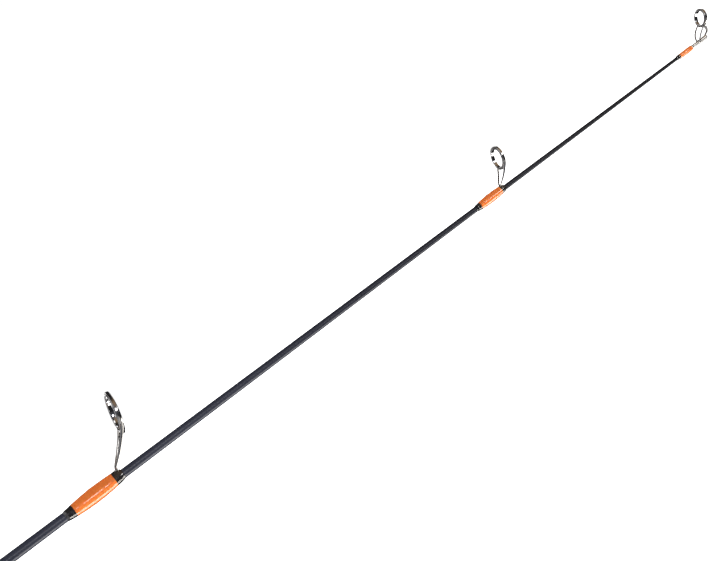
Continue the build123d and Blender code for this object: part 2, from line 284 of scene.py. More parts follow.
# a bar along points, with its half width and half thickness at each
def sweptBar(name, points, halfWidths, halfThicks, side, sides=20):
    points = [Vector(p) for p in points]
    vertices = []
    count = len(points)
    for index, point in enumerate(points):
        ahead = (points[min(index + 1, count - 1)] - points[max(index - 1, 0)]).normalized()
        across = (Vector(side) - ahead * ahead.dot(Vector(side))).normalized()
        upward = ahead.cross(across)
        for step in range(sides):
            angle = turn * step / sides
            vertices.append(point + across * halfWidths[index] * math.cos(angle)
                            + upward * halfThicks[index] * math.sin(angle))
    faces = gridFaces(count, sides)
    faces.append(tuple(range(sides)))
    faces.append(tuple(range((count - 1) * sides, count * sides)))
    return makeMesh(name, vertices, faces)


# an even curve through every mark
def smoothPath(marks, steps):
    marks = [marks[0] * 2 - marks[1], *marks, marks[-1] * 2 - marks[-2]]
    path = []
    for i in range(1, len(marks) - 2):
        a, b, c, d = marks[i - 1:i + 3]
        for step in range(steps):
            t = step / steps
            path.append((b * 2 + (c - a) * t + (a * 2 - b * 5 + c * 4 - d) * t ** 2
                         + (b * 3 - a - c * 3 + d) * t ** 3) * 0.5)
    path.append(marks[-2])
    return path


# a ring of a rounded section about a line through its centre
def hoop(name, centre, tilt, inner, outer, width, soft, segments=144):
    corners = [(-width / 2, inner, soft), (-width / 2, outer, soft),
               (width / 2, outer, soft), (width / 2, inner, soft)]
    piece = turned(name, corners, segments)
    # the hoop's line leans: its top goes forward by the tilt
    piece.data.transform(Matrix.Translation(Vector(centre) * mm)
                         @ Matrix.Rotation(math.radians(tilt), 4, "Y"))
    return piece


def joined(name, pieces):
    if len(pieces) > 1:
        bpy.ops.object.select_all(action="DESELECT")
        for piece in pieces:
            piece.select_set(True)
        bpy.context.view_layer.objects.active = pieces[0]
        bpy.ops.object.join()
    pieces[0].name = name
    return pieces[0]


# several overlapping pieces made into one smooth skin, as polished welded metal is
def welded(name, pieces, voxel, smoothing, keep=0.5):
    whole = joined(name, pieces)
    for kind, settings in (
        ("REMESH", {"mode": "VOXEL", "voxel_size": voxel * mm, "use_smooth_shade": True}),
        ("SMOOTH", {"factor": 0.5, "iterations": smoothing}),
        ("DECIMATE", {"ratio": keep}),
    ):
        step = whole.modifiers.new(kind.lower(), kind)
        for key, value in settings.items():
            setattr(step, key, value)
        bpy.ops.object.modifier_apply(modifier=step.name)
    for face in whole.data.polygons:
        face.use_smooth = True
    return whole


def dress(piece, material):
    piece.data.materials.clear()
    piece.data.materials.append(material)


# a new piece takes a CAD node's place, body and slot
bodyOfNode = {node: body for body, nodes in frame["record"]["behaviour"]["bodies"].items()
              for node in nodes}
slotOfNode = {part["node"]: part["material_slot"] for part in frame["record"]["subparts"]}


def standFor(piece, node, material):
    dress(piece, material)
    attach(piece, bodyOfNode[node])
    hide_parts(node)


def ends(node):
    low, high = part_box(node)
    return low.x / mm, high.x / mm


def outerRadius(node):
    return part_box(node)[1].y / mm


# the slate coat thins out towards the tip, from paleUntil to darkFrom metres along the rod
blankFinish = dict(deep=(0.003, 0.003, 0.0035), slate=(0.025, 0.028, 0.046), tapePitch=2.4 * mm,
                   paleUntil=0.33, darkFrom=0.56, coat=0.6, leastCoat=0.06)


def slateCoat():
    look = Look("slateCoat")
    place = look.place()
    x, y, z = look.axes(place)
    angle = y.angleTo(z)
    cloud = look.noise(look.stretch(place, (60, 400, 400)), 1.0, 4)
    fade = look.node("ShaderNodeMapRange", {}, {
        "Value": x, "From Min": blankFinish["paleUntil"], "From Max": blankFinish["darkFrom"],
        "To Min": 1.0, "To Max": 0.1})
    tone = (cloud * 0.5 + 0.5) * fade
    colour = look.blend(tone.clip(), blankFinish["deep"], blankFinish["slate"])
    ridge = ((x / blankFinish["tapePitch"] + angle / turn) * turn).sin()
    fine = look.noise(place, 2600, 2)
    bumped = look.bump(ridge * 0.5 + fine * 0.6, 0.35, 0.00002)
    return look.surface({
        "Base Color": colour, "Roughness": 0.34 + cloud * 0.14, "Normal": bumped,
        "Coat Weight": blankFinish["leastCoat"] + fade * blankFinish["coat"],
        "Coat Roughness": 0.22, "Specular IOR Level": 0.2})


def polishedSteel(name="polishedSteel", tint=(0.72, 0.7, 0.68), rough=0.06):
    look = Look(name)
    place = look.place()
    smear = look.noise(place, 420, 4)
    brushed = look.noise(look.stretch(place, (900, 5000, 900)), 1.0, 2)
    rub = look.ramp(smear, [(0.42, 0.0), (0.7, 1.0)])
    colour = look.blend(smear, tint, tuple(c * 0.88 for c in tint))
    bumped = look.bump(brushed * 0.5 + smear * 0.5, 0.12, 0.000012)
    return look.surface({
        "Base Color": colour, "Metallic": 1.0, "Roughness": rough + rub * 0.1, "Normal": bumped})


def anodised(name, colour, dark, rough, lineScale=5200):
    look = Look(name)
    place = look.place()
    lines = look.noise(look.stretch(place, (lineScale, 30, 30)), 1.0, 2)
    patch = look.noise(place, 160, 3)
    tone = look.blend((patch * 0.5 + lines * 0.35).clip(), colour, dark)
    bumped = look.bump(lines, 0.25, 0.00002)
    return look.surface({
        "Base Color": tone, "Metallic": 1.0, "Roughness": rough + patch * 0.12 + lines * 0.06,
        "Normal": bumped})


threadFinish = dict(orange=(1.0, 0.4, 0.085), orangeDeep=(0.97, 0.29, 0.045),
                    black=(0.012, 0.012, 0.014), blackPale=(0.04, 0.04, 0.045), pitch=0.24)


def woundThread(name, colour, deep):
    look = Look(name)
    place = look.place()
    streak = look.noise(look.stretch(place, (4200, 500, 500)), 1.0, 3)
    fibre = look.noise(look.stretch(place, (9000, 900, 900)), 1.0, 2)
    tone = look.blend(look.ramp(streak, [(0.35, 0.0), (0.75, 1.0)]), colour, deep)
    bumped = look.bump(fibre, 0.3, 0.00003)
    return look.surface({
        "Base Color": tone, "Roughness": 0.42 + streak * 0.2, "Normal": bumped,
        "Sheen Weight": 0.2, "Specular IOR Level": 0.4})


epoxyFinish = dict(clear=(1.0, 0.97, 0.93, 1), gloss=(1.0, 0.98, 0.95, 1), shine=2.0, leastShine=0.02)


def clearEpoxy():
    # see-through face on, and more of a mirror towards its edges
    look = Look("clearEpoxy")
    place = look.place()
    swell = look.noise(place, 240, 2)
    bumped = look.bump(swell, 0.2, 0.00006)
    gloss = look.node("ShaderNodeBsdfPrincipled", {}, {
        "Base Color": epoxyFinish["gloss"], "Roughness": 0.05, "Normal": bumped, "Metallic": 1.0})
    clear = look.node("ShaderNodeBsdfTransparent", {}, {"Color": epoxyFinish["clear"]})
    edge = look.node("ShaderNodeFresnel", {}, {"IOR": 1.5})
    share = (edge * epoxyFinish["shine"] + epoxyFinish["leastShine"]).clip()
    return look.finish(look.node("ShaderNodeMixShader", {}, {0: share, 1: clear, 2: gloss}))


corkFinish = dict(pale=(0.66, 0.44, 0.24), tan=(0.5, 0.31, 0.155), pit=(0.1, 0.05, 0.025),
                  ringPitch=12.7 * mm, granule=620, glue=(0.3, 0.17, 0.08), glueHalf=0.011)


def naturalCork():
    look = Look("naturalCork")
    place = look.place()
    along = look.axes(place)[0] / corkFinish["ringPitch"]  # in cork rings
    wander = look.noise(place, 260, 4)
    granule = look.cells(place, corkFinish["granule"], out="Color")
    grain = look.axes(granule)[0]
    soft = look.noise(place, 1500, 4)
    base = look.blend((grain * 0.5 + soft * 0.5).clip(), corkFinish["pale"], corkFinish["tan"])
    ringTone = look.node("ShaderNodeTexWhiteNoise", {"noise_dimensions": "1D"}, {"W": along.floor()})
    base = look.blend(ringTone * 0.35, base, look.blend(1.0, base, (0.82, 0.74, 0.64), "MULTIPLY"))
    pits = look.noise(look.stretch(place, (330, 780, 780)), 1.0, 5, 0.7)
    pitMask = look.ramp(pits, [(0.62, 0.0), (0.66, 1.0)])
    crumbs = look.cells(place, 1400)
    crumbMask = look.ramp(crumbs, [(0.08, 1.0), (0.16, 0.0)])
    crumbMask = crumbMask * look.ramp(wander, [(0.5, 0.0), (0.62, 1.0)])
    dark = (pitMask + crumbMask * 0.7).clip()
    glue = (along.fract() - 0.5).abs() > 0.5 - corkFinish["glueHalf"]  # the line between two rings
    colour = look.blend((dark * 0.85).clip(), base, corkFinish["pit"])
    colour = look.blend(glue * 0.45, colour, corkFinish["glue"])
    height = 1 - dark - glue * 0.5 + soft * 0.25 + grain * 0.15
    return look.surface({
        "Base Color": colour, "Roughness": (0.72 + dark * 0.2 + soft * 0.08).clip(),
        "Normal": look.bump(height, 0.55, 0.00025), "Specular IOR Level": 0.3})


def burlCork():
    look = Look("burlCork")
    place = look.place()
    flake = look.axes(look.cells(place, 760, out="Color"))
    soft = look.noise(place, 2400, 3)
    base = look.ramp(flake[0], [(0.0, (0.035, 0.022, 0.016)), (0.38, (0.09, 0.05, 0.03)),
                                (0.55, (0.26, 0.14, 0.065)), (0.85, (0.5, 0.31, 0.16))])
    base = look.blend(soft * 0.4, base, (0.05, 0.03, 0.02))
    height = flake[1] * 0.4 + soft * 0.5
    return look.surface({
        "Base Color": base, "Roughness": 0.6 + flake[2] * 0.2,
        "Normal": look.bump(height, 0.35, 0.00015), "Specular IOR Level": 0.35})


def mouldedBlack(name, colour, rough, speck, depth):
    look = Look(name)
    place = look.place()
    grain = look.noise(place, speck, 3)
    scuff = look.noise(place, 210, 4)
    tone = look.blend(look.ramp(scuff, [(0.45, 0.0), (0.8, 1.0)]), colour,
                      tuple(min(1, c * 1.9 + 0.004) for c in colour))
    return look.surface({
        "Base Color": tone, "Roughness": rough + scuff * 0.14,
        "Normal": look.bump(grain, 0.4, depth), "Specular IOR Level": 0.45})


def foam():
    look = Look("arborFoam")
    place = look.place()
    cell = look.cells(place, 1800)
    tone = look.blend(cell.clip(), (0.5, 0.48, 0.4), (0.72, 0.7, 0.62))
    return look.surface({"Base Color": tone, "Roughness": 0.85,
                         "Normal": look.bump(cell, 0.5, 0.0001)})


finishes = {
    "blank": slateCoat(),
    "rubber": mouldedBlack("buttRubber", (0.02, 0.02, 0.021), 0.58, 3000, 0.00005),
    "orange_anodised": anodised("orangeAnodised", (0.95, 0.2, 0.02), (0.7, 0.11, 0.01), 0.2),
    "cork": naturalCork(),
    "burl_cork": burlCork(),
    "seat_plastic": mouldedBlack("seatNylon", (0.016, 0.0165, 0.018), 0.36, 5200, 0.00002),
    "arbor_foam": foam(),
    "hood_metal": anodised("darkAnodised", (0.13, 0.135, 0.15), (0.06, 0.063, 0.07), 0.24, 3600),
    "liner_plastic": mouldedBlack("linerPlastic", (0.03, 0.03, 0.032), 0.5, 4200, 0.00002),
    "check_metal": anodised("checkMetal", (0.2, 0.205, 0.22), (0.1, 0.105, 0.115), 0.18),
    "guide_steel": polishedSteel(),
    "ring_chrome": polishedSteel("ringChrome", (0.72, 0.72, 0.73), 0.04),
    "orange_thread": woundThread("orangeThread", threadFinish["orange"], threadFinish["orangeDeep"]),
    "black_thread": woundThread("blackThread", threadFinish["black"], threadFinish["blackPale"]),
    "clear_epoxy": clearEpoxy(),
}
print("finishes made")


# millimetres from here on; the spigot is the thin end that the tip tube slides over
blankShape = dict(tipRadius=0.62, taper=0.00335, spigot=0.42, shelf=0.01, segments=72, rows=220)
rodTip = ends("tip_tube")[1]


def blankRadius(x):
    return blankShape["tipRadius"] + blankShape["taper"] * (rodTip - x)


def makeBlank():
    rear, front = ends("blank")
    tubeRear = ends("tip_tube")[0]
    x = [*np.linspace(rear, tubeRear, blankShape["rows"]), tubeRear + blankShape["shelf"], front]
    radii = [blankRadius(v) if v <= tubeRear else blankShape["spigot"] for v in x]
    piece = wrapGrid("blankTaper", np.array(x) * mm, evenAngles(blankShape["segments"]),
                     np.array(radii) * mm, capEnds=True)
    standFor(piece, "blank", finishes["blank"])


makeBlank()


# plain rings round the blank, by how softly their edges are rounded
collarSoftness = dict(butt_trim_ring=0.45, rear_burl_ring=0.7, rear_trim_ring=0.45, fore_trim_ring=0.45)


def makeCollar(node, soft):
    rear, front = ends(node)
    radius = outerRadius(node)
    piece = turned(node + "_turned", [
        (rear, blankRadius(rear), 0), (rear, radius, soft), (front, radius, soft),
        (front, blankRadius(front), 0)])
    standFor(piece, node, finishes[slotOfNode[node]])


for node, soft in collarSoftness.items():
    makeCollar(node, soft)

gripShape = dict(shoulder=2.6, drop=0.3, endSoft=0.6, shoulderSoft=1.6, segments=160)


def makeRearGrip():
    shape = gripShape
    rear, front = ends("rear_grip")
    radius = outerRadius("rear_grip")
    end = radius - shape["drop"]
    piece = turned("rearGripCork", [
        (rear, blankRadius(rear), 0), (rear, end, shape["endSoft"]),
        (rear + shape["shoulder"], radius, shape["shoulderSoft"]),
        (front - shape["shoulder"], radius, shape["shoulderSoft"]),
        (front, end, shape["endSoft"]), (front, blankRadius(front), 0)], shape["segments"])
    standFor(piece, "rear_grip", finishes["cork"])


makeRearGrip()

capShape = dict(grooves=3, grooveDepth=0.5, grooveWidth=1.1, grooveStart=5.2, groovePitch=2.1,
                grooveSide=0.3, grooveSoft=0.2, dish=0.6, dishRadius=6.5, dishSide=0.8, endWall=0.9,
                edge=2.4, axisGap=0.01, socket=5, segments=144)


def makeButtCap():
    shape = capShape
    rear, front = ends("butt_cap")
    radius = outerRadius("butt_cap")
    inner = blankRadius(front)
    dish = rear + shape["dish"]
    wall = dish + shape["endWall"]
    corners = [(rear + shape["socket"], inner, 0), (wall, inner, 0), (wall, shape["axisGap"], 0),
               (dish, shape["axisGap"], 0), (dish, shape["dishRadius"] - shape["dishSide"], 0.4),
               (rear, shape["dishRadius"], 0.5), (rear, radius, shape["edge"])]
    depth = radius - shape["grooveDepth"]
    for index in range(shape["grooves"]):
        start = rear + shape["grooveStart"] + index * shape["groovePitch"]
        end = start + shape["grooveWidth"]
        corners += [(x, r, shape["grooveSoft"]) for x, r in (
            (start, radius), (start + shape["grooveSide"], depth),
            (end - shape["grooveSide"], depth), (end, radius))]
    corners += [(front, radius, 0.3), (front, inner, 0)]
    standFor(turned("buttCapRubber", corners, shape["segments"]), "butt_cap", finishes["rubber"])


makeButtCap()


# the front of the handle narrows through its cork and burl to the winding check: where each
# piece's radius starts and ends, how far it swells between them, and how its ends are set in
foreShape = dict(
    fore_grip=dict(name="foreGripCork", rearRadius=10.0, frontRadius=7.1, swell=0.8, soft=0.15),
    fore_burl_ring=dict(name="foreBurl", rearRadius=7.1, frontRadius=5.8, swell=0.25, soft=0.12),
    winding_check=dict(name="windingCheckTurned", rearRadius=5.2, frontRadius=2.6, swell=0.35, soft=0.12),
)
foreDrop = 0.15  # from the outer side down to the edge of each end face


def makeSwollen(node, name, rearRadius, frontRadius, swell, soft, steps=14):
    rear, front = ends(node)
    corners = [(rear, blankRadius(rear), 0), (rear, rearRadius - foreDrop, 0)]
    for step in range(steps + 1):
        t = step / steps
        radius = rearRadius + (frontRadius - rearRadius) * t + swell * 4 * t * (1 - t)
        x = rear + soft + (front - rear - 2 * soft) * t
        corners.append((x, radius, 0))
    corners += [(front, frontRadius - foreDrop, 0), (front, blankRadius(front), 0)]
    standFor(turned(name, corners), node, finishes[slotOfNode[node]])


for node, shape in foreShape.items():
    makeSwollen(node, **shape)
print("grips made")


barrelShape = dict(radius=7.5, bore=4.6, shoulder=1.2, shoulderLength=2.5, edge=0.35, frontDrop=0.3,
                   pitch=2.0, depth=0.68, crest=0.36, flank=0.2, threadRear=97.5, threadFront=146.0,
                   threadFade=1.2, perTurn=12, keyRear=64.5, keyHalf=1.5, keyDepth=1.0, keySide=0.012,
                   segments=120)


def makeBarrel():
    shape = barrelShape
    rear, front = ends("seat_barrel")
    radius = shape["radius"]
    shoulderFront = rear + shape["shoulderLength"]
    keyEdge = math.asin(shape["keyHalf"] / radius)
    keySides = [math.pi + side * keyEdge + more for side in (-1, 1)
                for more in (-shape["keySide"], shape["keySide"])]
    angles = np.array(sorted([*evenAngles(shape["segments"]), *keySides]))
    stations = [rear, rear + shape["edge"], shoulderFront - shape["edge"], shoulderFront]
    stations += list(np.linspace(shoulderFront + 0.02, shape["threadRear"] - 0.3, 12))
    stations += list(np.arange(shape["threadRear"], shape["threadFront"],
                               shape["pitch"] / shape["perTurn"]))
    stations += [shape["threadFront"] + 0.3, front - shape["frontDrop"], front]
    radii = []
    for x in stations:
        row = np.full(len(angles), radius)
        if x <= shoulderFront:
            row += shape["shoulder"] - (shape["edge"] if x in (rear, shoulderFront) else 0)
        if x == front:
            row -= shape["frontDrop"]
        if shape["threadRear"] <= x <= shape["threadFront"]:
            phase = (x / shape["pitch"] + angles / turn) % 1
            away = np.abs(phase - 0.5) * 2
            groove = np.clip((1 - away - shape["crest"]) / shape["flank"], 0, 1)
            run = min(x - shape["threadRear"], shape["threadFront"] - x)
            row -= shape["depth"] * groove * min(1, max(0, run) / shape["threadFade"])
        if x > shape["keyRear"]:
            inSlot = np.abs(angles - math.pi) < keyEdge
            floor = (radius - shape["keyDepth"]) / np.maximum(np.abs(np.cos(angles)), 0.2)
            row = np.where(inSlot, np.minimum(row, floor), row)
        radii.append(row)
    stations += [front, rear]
    radii += [np.full(len(angles), shape["bore"])] * 2
    piece = wrapGrid("seatBarrelThreaded", np.array(stations) * mm, angles, np.array(radii) * mm,
                     closeRows=True)
    standFor(piece, "seat_barrel", finishes["seat_plastic"])


makeBarrel()

nutShape = dict(radius=10.8, bore=7.58, flutes=24, depth=0.62, crest=0.85, lift=0.15,
                endDepth=0.75, runOut=1.4, edge=0.7, bandStart=4.2, bandDrop=0.1, bandSoft=0.5,
                lip=0.9, collarDrop=0.25, collarLength=1.2, segments=240)


def makeNut():
    shape = nutShape
    rear, front = ends("lock_nut")
    radius = shape["radius"]
    fluteFront = front - shape["bandStart"]
    angles = evenAngles(shape["segments"])
    wave = np.clip(np.cos(angles * shape["flutes"]) * shape["crest"] + shape["lift"], 0, 1)
    stations, radii = [rear], [np.full(len(angles), shape["bore"])]
    endSteps = (0, 0.15, 0.4, 0.8)
    for x in (*(rear + step for step in endSteps), *np.linspace(rear + 1.1, fluteFront - 1.1, 14),
              *(fluteFront - step for step in reversed(endSteps))):
        near = min(x - rear, fluteFront - x)
        fall = shape["edge"] * (1 - math.sqrt(max(0, 1 - (1 - min(1, near / shape["edge"])) ** 2)))
        run = min(1, near / shape["runOut"])
        deep = shape["depth"] * (shape["endDepth"] + (1 - shape["endDepth"]) * run)
        stations.append(x)
        radii.append(radius - fall - wave * deep)
    # in front of the flutes: the band's seat, then a narrow collar
    lip = radius - shape["lip"]
    collarRear = front - shape["collarLength"]
    collar = radius - shape["collarDrop"]
    for x, r in ((fluteFront + 0.02, lip), (collarRear - 0.02, lip), (collarRear, collar - 0.2),
                 (collarRear + 0.2, collar), (front - 0.3, collar), (front, collar - 0.3),
                 (front, shape["bore"])):
        stations.append(x)
        radii.append(np.full(len(angles), r))
    piece = wrapGrid("lockNutFluted", np.array(stations) * mm, angles, np.array(radii) * mm, closeRows=True)
    standFor(piece, "lock_nut", finishes["hood_metal"])
    bandRear, bandFront = ends("lock_nut_band")
    band = turned("lockNutBandTurned", [
        (bandRear, lip, 0), (bandRear, radius - shape["bandDrop"], shape["bandSoft"]),
        (bandFront, radius - shape["bandDrop"], shape["bandSoft"]), (bandFront, lip, 0)])
    standFor(band, "lock_nut_band", finishes["orange_anodised"])


makeNut()

# these keep their own meshes and only take a finish
for node in ("fixed_hood", "sliding_hood", "fixed_hood_liner", "sliding_hood_liner",
             "nut_washer", "seat_arbors"):
    dress(frame["nodes"][node], finishes[slotOfNode[node]])
print("reel seat made")


guides = dict(
    stripper=dict(ringRadius=7.25, hoopWall=0.6, linerWall=0.75, ringHeight=17.3, ringForward=10.4,
                  tilt=13.0, sheet=0.9, footLength=18.5, footWidth=2.1, footHeight=0.8, legWidth=1.2,
                  reach=54, coat=0.5, voxel=0.075),
    middle=dict(ringRadius=4.5, hoopWall=0.45, linerWall=0.6, ringHeight=10.2, ringForward=6.1,
                tilt=13.0, sheet=0.7, footLength=11.8, footWidth=1.5, footHeight=0.6, legWidth=0.85,
                reach=54, coat=0.3, voxel=0.055),
)
hoopShape = dict(wider=0.25, soft=0.14, linerWider=0.5, linerSoft=0.36)

# both legs leave the foot as one neck: how far back or ahead of the post, how far out in foot
# widths, and how far below the foot's full height
neckLine = [(-1.2, 0.22, 0.4), (0.1, 0.36, 0.05)]
# how far up, out (in ring radii) and forward each leg is on its way to the hoop
legLine = [(0.11, 0.28, 0.1), (0.32, 0.45, 0.35), (0.6, 0.58, 0.66), (0.84, 0.68, 0.89)]
# how far round the hoop each leg goes on while it sinks in, in degrees past its reach
legJoin = (0, 14, 28, 42)
legShape = dict(wide=0.46, waist=0.1, waistEnd=1.6, thick=0.46, swell=0.5, swellFrom=0.22, swellTo=0.6,
                sinkFrom=0.66, sinkOver=0.34, sunkWide=0.3, sunkThick=0.4)
# the foot's line: back in foot lengths, ahead, up in foot heights, up, and its width and thickness
footLine = [(1.0, 0, 0, 0, 0.45, 0.1), (0.8, 0, 0, 0.05, 0.62, 0.2), (0.5, 0, 0.14, 0, 0.9, 0.34),
            (0.2, 0, 0.18, 0, 1.0, 0.38), (0, 0.1, 0.26, 0, 0.9, 0.36), (0, 0.4, 0.24, 0, 0.7, 0.26)]


def hoopPoint(shape, post, side, degrees, radius):
    # a point on a guide's hoop, so many degrees round from its lowest point
    lean = math.radians(shape["tilt"])
    low = radius * math.cos(math.radians(degrees))
    return Vector((post + shape["ringForward"] - low * math.sin(lean),
                   side * radius * math.sin(math.radians(degrees)),
                   shape["ringHeight"] - low * math.cos(lean)))


def makeGuide(name, shape, post):
    under = blankRadius(post)
    top = under + shape["footHeight"]
    inner = shape["ringRadius"] - shape["hoopWall"]
    middleRadius = shape["ringRadius"] - shape["hoopWall"] / 2
    centre = (post + shape["ringForward"], 0, shape["ringHeight"])
    hoopWidth = shape["sheet"] + hoopShape["wider"]
    parts = [hoop(name + "Hoop", centre, shape["tilt"], inner, shape["ringRadius"],
                  hoopWidth, hoopShape["soft"])]
    # two legs like a wishbone, each from the neck of the foot into one side of the hoop
    for side in (-1, 1):
        joint = hoopPoint(shape, post, side, shape["reach"], middleRadius)
        marks = [Vector((post + ahead, side * shape["footWidth"] * spread, top - sunk))
                 for ahead, spread, sunk in neckLine]
        root = marks[-1]
        for rise, spread, forward in legLine:
            marks.append(Vector((root.x + (joint.x - root.x) * forward,
                                 side * spread * shape["ringRadius"],
                                 root.z + (joint.z - root.z) * rise)))
        marks += [hoopPoint(shape, post, side, shape["reach"] + more, middleRadius) for more in legJoin]
        path = smoothPath(marks, 6)
        wide, thick = [], []
        for t in np.arange(len(path)) / (len(path) - 1):
            sink = max(0, (t - legShape["sinkFrom"]) / legShape["sinkOver"])
            waist = legShape["waist"] * math.sin(math.pi * min(1, t * legShape["waistEnd"]))
            swell = legShape["swell"] * max(0, min(legShape["swellTo"], t) - legShape["swellFrom"])
            wide.append(shape["legWidth"] * (legShape["wide"] - waist) * (1 - sink)
                        + shape["hoopWall"] * legShape["sunkWide"] * sink)
            thick.append(shape["sheet"] * (legShape["thick"] + swell) * (1 - sink)
                         + shape["sheet"] * legShape["sunkThick"] * sink)
        parts.append(sweptBar(name + "Leg", [p * mm for p in path], [w * mm for w in wide],
                              [t * mm for t in thick], (0, 1, 0)))
    # the foot tapers to a thin tip under the thread, and arches a little over the blank
    path, wide, thick = [], [], []
    for back, ahead, rise, lift, width, height in footLine:
        path.append(Vector((post - shape["footLength"] * back + ahead, 0,
                            under + shape["footHeight"] * rise + lift)) * mm)
        wide.append(width * shape["footWidth"] / 2 * mm)
        thick.append(height * shape["footHeight"] * mm)
    parts.append(sweptBar(name + "Foot", path, wide, thick, (0, 1, 0)))
    piece = welded(name + "GuideFrame", parts, shape["voxel"], 6)
    standFor(piece, name + "_guide_frame", finishes["guide_steel"])
    liner = hoop(name + "RingLiner", centre, shape["tilt"], inner - shape["linerWall"], inner,
                 hoopWidth + hoopShape["linerWider"], hoopShape["linerSoft"] * shape["linerWall"])
    standFor(liner, name + "_guide_ring", finishes["ring_chrome"])


# the thread climbs from low to high over the foot, and is back on the blank ahead of the post
climbShape = dict(share=0.45, low=0.08, high=0.55, ahead=1.5, fall=1.2, footShare=0.42, narrowUnder=0.3)


def footTop(shape, post, x):
    share = (x - (post - shape["footLength"])) / (climbShape["share"] * shape["footLength"])
    if share < 0:
        return 0
    fall = min(1, max(0, (post + climbShape["ahead"] - x) / climbShape["fall"]))
    return (climbShape["low"] + climbShape["high"] * shape["footHeight"] * min(1, share)) * fall


# radius of a thread drawn tight over the blank and a foot on top of it
def tightRadius(angle, under, halfWidth, top):
    angle = abs((angle + math.pi) % turn - math.pi)
    if top <= under:
        return under
    corner = math.atan2(halfWidth, top)
    span = math.hypot(halfWidth, top)
    tangent = corner + math.acos(min(1, under / span))
    if angle < corner:
        return top / math.cos(angle)
    if angle < tangent:
        return max(under, under / math.cos(tangent - angle))
    return under


wrapShape = dict(segments=72, perTurn=7, threadHalf=0.11, threadLift=0.9, threadRound=0.93,
                 bellyPower=1.9, bellyOff=0.43, inset=0.05, shortest=0.3)
coatShape = dict(runOut=0.9, rows=90, ramp=1.3, clear=0.03, base=0.012, ripple=0.012, rippleTurn=1.9,
                 levelOver=(-0.6, -0.3, 0, 0.3, 0.6))


def makeWrap(name, coat, footHalf, topOf, tubeOf=blankRadius):
    pitch = threadFinish["pitch"]
    angles = evenAngles(wrapShape["segments"])
    spans = [("_wrap", "orange_thread", [ends(name + "_wrap")])]
    rearmost, foremost = wrapRear, wrapFront = ends(name + "_wrap")
    if name + "_wrap_bands" in frame["nodes"]:
        bandRear, bandFront = ends(name + "_wrap_bands")
        rearmost, foremost = min(wrapRear, bandRear), max(wrapFront, bandFront)
        stretches = [(a, b) for a, b in ((bandRear, wrapRear), (wrapFront, bandFront))
                     if b - a > wrapShape["shortest"]]
        spans.append(("_wrap_bands", "black_thread", stretches))

    def underThread(x):
        base = max(blankRadius(x), tubeOf(x))
        share = min(1, max(0, (x - rearmost) / (foremost - rearmost)))
        belly = (coat * (1 - abs(2 * share - 1) ** wrapShape["bellyPower"])
                 * (1 - wrapShape["bellyOff"] * np.cos(angles)))  # fullest on the side away from the foot
        half, top = footHalf(x), base + topOf(x)
        return np.array([tightRadius(a, base, half, top) for a in angles]) + belly

    def closed(pieceName, x, rows):
        inside = [underThread(x[-1]) - wrapShape["inset"], underThread(x[0]) - wrapShape["inset"]]
        return wrapGrid(pieceName, np.array([*x, x[-1], x[0]]) * mm, angles,
                        np.array(rows + inside) * mm, closeRows=True)

    for suffix, slot, stretches in spans:
        made = []
        for start, end in stretches:
            x = np.arange(start, end, pitch / wrapShape["perTurn"])
            rows = []
            for station in x:
                across = ((station / pitch + angles / turn) % 1) * 2 - 1
                ridge = np.sqrt(1 - (wrapShape["threadRound"] * across) ** 2)
                rows.append(underThread(station)
                            + wrapShape["threadHalf"] * (wrapShape["threadLift"] + ridge))
            made.append(closed(name + suffix + "Turns", x, rows))
        standFor(joined(name + suffix + "Turns", made), name + suffix, finishes[slot])

    # the coat levels out the ridges and runs out onto the blank at both ends
    rear, front = rearmost - coatShape["runOut"], foremost + coatShape["runOut"]
    x = np.linspace(rear, front, coatShape["rows"])
    rows = []
    for station in x:
        around = np.mean([underThread(min(max(station + away, rear), front))
                          for away in coatShape["levelOver"]], axis=0)
        smooth = np.mean([np.roll(around, k) for k in range(-2, 3)], axis=0)
        inWrap = (min(1, max(0, (station - rear) / coatShape["ramp"]))
                  * min(1, max(0, (front - station) / coatShape["ramp"])))
        lift = math.sin(inWrap * math.pi / 2) * (2 * wrapShape["threadHalf"] + coatShape["clear"])
        ripple = coatShape["ripple"] * math.sin(station * coatShape["rippleTurn"]) * inWrap
        rows.append(np.maximum(smooth, around) + lift + ripple + coatShape["base"])
    standFor(closed(name + "EpoxyCoat", x, rows), name + "_epoxy", finishes["clear_epoxy"])


def makeGuideWrap(name, shape, post):
    def topOf(x):
        return footTop(shape, post, x)

    def halfOf(x):
        return shape["footWidth"] * climbShape["footShare"] * min(1, topOf(x) / climbShape["narrowUnder"])

    makeWrap(name, shape["coat"], halfOf, topOf)


posts = {}
for name, shape in guides.items():
    posts[name] = ends(name + "_guide_frame")[0] + shape["footLength"]
    makeGuide(name, shape, posts[name])
    makeGuideWrap(name, shape, posts[name])
print("guides made")


tipShape = dict(ringRadius=3.75, hoopWall=0.4, linerWall=0.5, ringHeight=7.3, ringForward=2.9, tilt=23.0,
                hoopWidth=1.1, linerWidth=1.6, hoopSoft=0.12, linerSoft=0.2, frontWall=0.55, axisGap=0.01,
                collarLength=5.0, collarEnd=0.4, collarWall=0.22, sheet=0.75, legWidth=0.8, reach=58,
                setback=4.6, braceHalf=0.85, braceThick=0.3, coat=0.13, footHalf=0.1, voxel=0.045)
# each leg from its root on the collar: forward of it, out past the collar, and up
tipLegLine = [(-0.6, -0.2, -0.25), (0, 0.05, 0.5), (1.2, 0.95, 2.1), (3.6, 1.75, 3.9)]
tipLegJoin = (0, 14, 30)
tipLegTail = 12  # points over which the leg thins out into the hoop
# the brace bows forward from the collar up to the bottom of the hoop: forward and up
tipBraceLine = [(1.55, 1.6), (2.25, 2.7), (2.15, 3.5)]
# the thread slopes from the blank up onto the tube: how far back it starts, and over what length
tipSlope = dict(back=1.6, length=1.8, clear=0.02)


